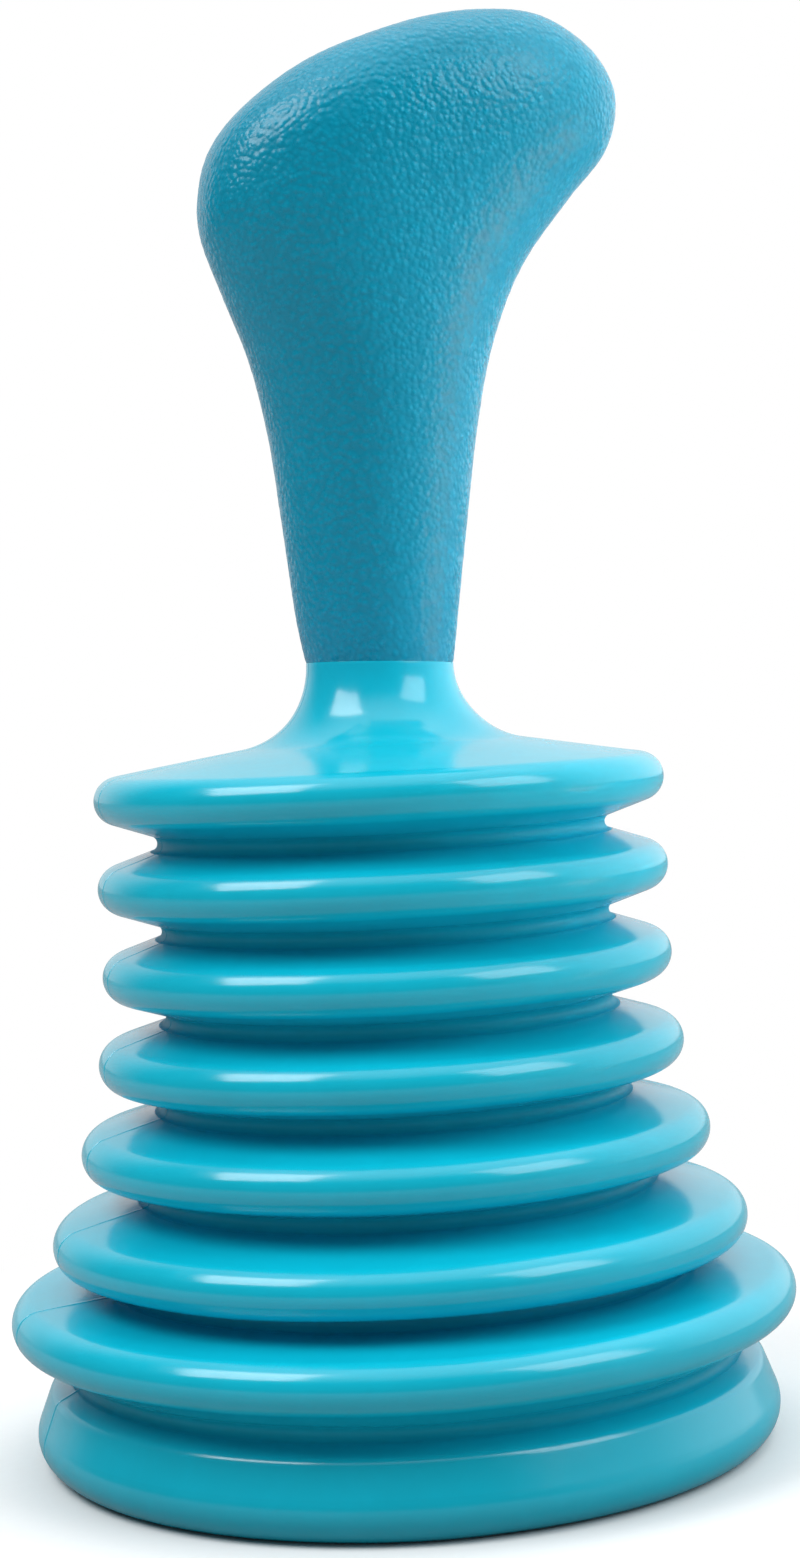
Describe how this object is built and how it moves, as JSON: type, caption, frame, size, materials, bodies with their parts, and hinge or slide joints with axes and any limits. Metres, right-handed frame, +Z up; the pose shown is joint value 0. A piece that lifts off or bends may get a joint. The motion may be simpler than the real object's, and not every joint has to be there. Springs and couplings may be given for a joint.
{
  "type": "bellows sink plunger",
  "caption": "Turquoise bellows sink plunger: stacked round folds over a flared cup, with a grained foot-shaped grip on a short neck.",
  "frame": {"origin": "centre of the cup lip's flat resting face, on the bellows axis", "axes": "+Z up the bellows axis towards the grip; +X the way the nose of the grip points, in the mould's parting plane"},
  "size_m": [0.12, 0.12, 0.2199],
  "materials": {
    "grip_grained": "pebble-grained satin turquoise plastic",
    "bellows_gloss": "smooth glossy turquoise plastic",
    "lip_gloss": "smooth glossy turquoise plastic, soft edge"
  },
  "bodies": {
    "cup": {"cup": "bellows_gloss", "lip": "lip_gloss"},
    "web_7_lower": {"web_7_lower": "bellows_gloss"},
    "web_7_upper": {"web_7_upper": "bellows_gloss"},
    "fold_7": {"fold_7": "bellows_gloss"},
    "web_6_lower": {"web_6_lower": "bellows_gloss"},
    "web_6_upper": {"web_6_upper": "bellows_gloss"},
    "fold_6": {"fold_6": "bellows_gloss"},
    "web_5_lower": {"web_5_lower": "bellows_gloss"},
    "web_5_upper": {"web_5_upper": "bellows_gloss"},
    "fold_5": {"fold_5": "bellows_gloss"},
    "web_4_lower": {"web_4_lower": "bellows_gloss"},
    "web_4_upper": {"web_4_upper": "bellows_gloss"},
    "fold_4": {"fold_4": "bellows_gloss"},
    "web_3_lower": {"web_3_lower": "bellows_gloss"},
    "web_3_upper": {"web_3_upper": "bellows_gloss"},
    "fold_3": {"fold_3": "bellows_gloss"},
    "web_2_lower": {"web_2_lower": "bellows_gloss"},
    "web_2_upper": {"web_2_upper": "bellows_gloss"},
    "fold_2": {"fold_2": "bellows_gloss"},
    "web_1_lower": {"web_1_lower": "bellows_gloss"},
    "web_1_upper": {"web_1_upper": "bellows_gloss"},
    "handle": {"fold_1": "bellows_gloss", "top_plate": "bellows_gloss", "neck": "bellows_gloss", "grip": "grip_grained"}
  },
  "joints": [
    {"name": "press", "type": "slide", "parent": "cup", "child": "web_7_lower", "axis": [0, 0, 1], "range_m": [-0.0012, 0.0005], "stiffness_N_per_m": 27000, "deforming": ["web_7_lower"]},
    {"name": "lean_front", "type": "hinge", "parent": "web_7_lower", "child": "web_7_upper", "pos_m": [0, 0, 0.01427], "axis": [1, 0, 0], "range_deg": [-1.6, 1.6], "stiffness_Nm_per_rad": 12},
    {"name": "press_7_upper", "type": "slide", "parent": "web_7_upper", "child": "fold_7", "axis": [0, 0, 1], "range_m": [-0.0012, 0.0005], "stiffness_N_per_m": 27000, "deforming": ["web_7_upper"]},
    {"name": "press_6_lower", "type": "slide", "parent": "fold_7", "child": "web_6_lower", "axis": [0, 0, 1], "range_m": [-0.0012, 0.0005], "stiffness_N_per_m": 27000, "deforming": ["web_6_lower"]},
    {"name": "lean_side", "type": "hinge", "parent": "web_6_lower", "child": "web_6_upper", "pos_m": [0, 0, 0.02784], "axis": [0, 1, 0], "range_deg": [-1.6, 1.6], "stiffness_Nm_per_rad": 12},
    {"name": "press_6_upper", "type": "slide", "parent": "web_6_upper", "child": "fold_6", "axis": [0, 0, 1], "range_m": [-0.0012, 0.0005], "stiffness_N_per_m": 27000, "deforming": ["web_6_upper"]},
    {"name": "press_5_lower", "type": "slide", "parent": "fold_6", "child": "web_5_lower", "axis": [0, 0, 1], "range_m": [-0.0018, 0.00075], "stiffness_N_per_m": 18000, "deforming": ["web_5_lower"]},
    {"name": "lean_front_5", "type": "hinge", "parent": "web_5_lower", "child": "web_5_upper", "pos_m": [0, 0, 0.04051], "axis": [1, 0, 0], "range_deg": [-2, 2], "stiffness_Nm_per_rad": 12},
    {"name": "press_5_upper", "type": "slide", "parent": "web_5_upper", "child": "fold_5", "axis": [0, 0, 1], "range_m": [-0.0018, 0.00075], "stiffness_N_per_m": 18000, "deforming": ["web_5_upper"]},
    {"name": "press_4_lower", "type": "slide", "parent": "fold_5", "child": "web_4_lower", "axis": [0, 0, 1], "range_m": [-0.0018, 0.00075], "stiffness_N_per_m": 18000, "deforming": ["web_4_lower"]},
    {"name": "lean_side_4", "type": "hinge", "parent": "web_4_lower", "child": "web_4_upper", "pos_m": [0, 0, 0.05374], "axis": [0, 1, 0], "range_deg": [-2.4, 2.4], "stiffness_Nm_per_rad": 12},
    {"name": "press_4_upper", "type": "slide", "parent": "web_4_upper", "child": "fold_4", "axis": [0, 0, 1], "range_m": [-0.0018, 0.00075], "stiffness_N_per_m": 18000, "deforming": ["web_4_upper"]},
    {"name": "press_3_lower", "type": "slide", "parent": "fold_4", "child": "web_3_lower", "axis": [0, 0, 1], "range_m": [-0.0018, 0.00075], "stiffness_N_per_m": 18000, "deforming": ["web_3_lower"]},
    {"name": "lean_front_3", "type": "hinge", "parent": "web_3_lower", "child": "web_3_upper", "pos_m": [0, 0, 0.0669], "axis": [1, 0, 0], "range_deg": [-2, 2], "stiffness_Nm_per_rad": 12},
    {"name": "press_3_upper", "type": "slide", "parent": "web_3_upper", "child": "fold_3", "axis": [0, 0, 1], "range_m": [-0.0018, 0.00075], "stiffness_N_per_m": 18000, "deforming": ["web_3_upper"]},
    {"name": "press_2_lower", "type": "slide", "parent": "fold_3", "child": "web_2_lower", "axis": [0, 0, 1], "range_m": [-0.0018, 0.00075], "stiffness_N_per_m": 18000, "deforming": ["web_2_lower"]},
    {"name": "lean_side_2", "type": "hinge", "parent": "web_2_lower", "child": "web_2_upper", "pos_m": [0, 0, 0.0801], "axis": [0, 1, 0], "range_deg": [-2.4, 2.4], "stiffness_Nm_per_rad": 12},
    {"name": "press_2_upper", "type": "slide", "parent": "web_2_upper", "child": "fold_2", "axis": [0, 0, 1], "range_m": [-0.0018, 0.00075], "stiffness_N_per_m": 18000, "deforming": ["web_2_upper"]},
    {"name": "press_1_lower", "type": "slide", "parent": "fold_2", "child": "web_1_lower", "axis": [0, 0, 1], "range_m": [-0.0018, 0.00075], "stiffness_N_per_m": 18000, "deforming": ["web_1_lower"]},
    {"name": "lean_front_1", "type": "hinge", "parent": "web_1_lower", "child": "web_1_upper", "pos_m": [0, 0, 0.0935], "axis": [1, 0, 0], "range_deg": [-2, 2], "stiffness_Nm_per_rad": 12},
    {"name": "press_1_upper", "type": "slide", "parent": "web_1_upper", "child": "handle", "axis": [0, 0, 1], "range_m": [-0.0018, 0.00075], "stiffness_N_per_m": 18000, "deforming": ["web_1_upper"]}
  ],
  "couplings": [
    {"joint": "press_7_upper", "follows": "press", "ratio": 1},
    {"joint": "press_6_lower", "follows": "press", "ratio": 1},
    {"joint": "press_6_upper", "follows": "press", "ratio": 1},
    {"joint": "press_5_lower", "follows": "press", "ratio": 1.5},
    {"joint": "lean_front_5", "follows": "lean_front", "ratio": 1.25},
    {"joint": "press_5_upper", "follows": "press", "ratio": 1.5},
    {"joint": "press_4_lower", "follows": "press", "ratio": 1.5},
    {"joint": "lean_side_4", "follows": "lean_side", "ratio": 1.5},
    {"joint": "press_4_upper", "follows": "press", "ratio": 1.5},
    {"joint": "press_3_lower", "follows": "press", "ratio": 1.5},
    {"joint": "lean_front_3", "follows": "lean_front", "ratio": 1.25},
    {"joint": "press_3_upper", "follows": "press", "ratio": 1.5},
    {"joint": "press_2_lower", "follows": "press", "ratio": 1.5},
    {"joint": "lean_side_2", "follows": "lean_side", "ratio": 1.5},
    {"joint": "press_2_upper", "follows": "press", "ratio": 1.5},
    {"joint": "press_1_lower", "follows": "press", "ratio": 1.5},
    {"joint": "lean_front_1", "follows": "lean_front", "ratio": 1.25},
    {"joint": "press_1_upper", "follows": "press", "ratio": 1.5}
  ]
}
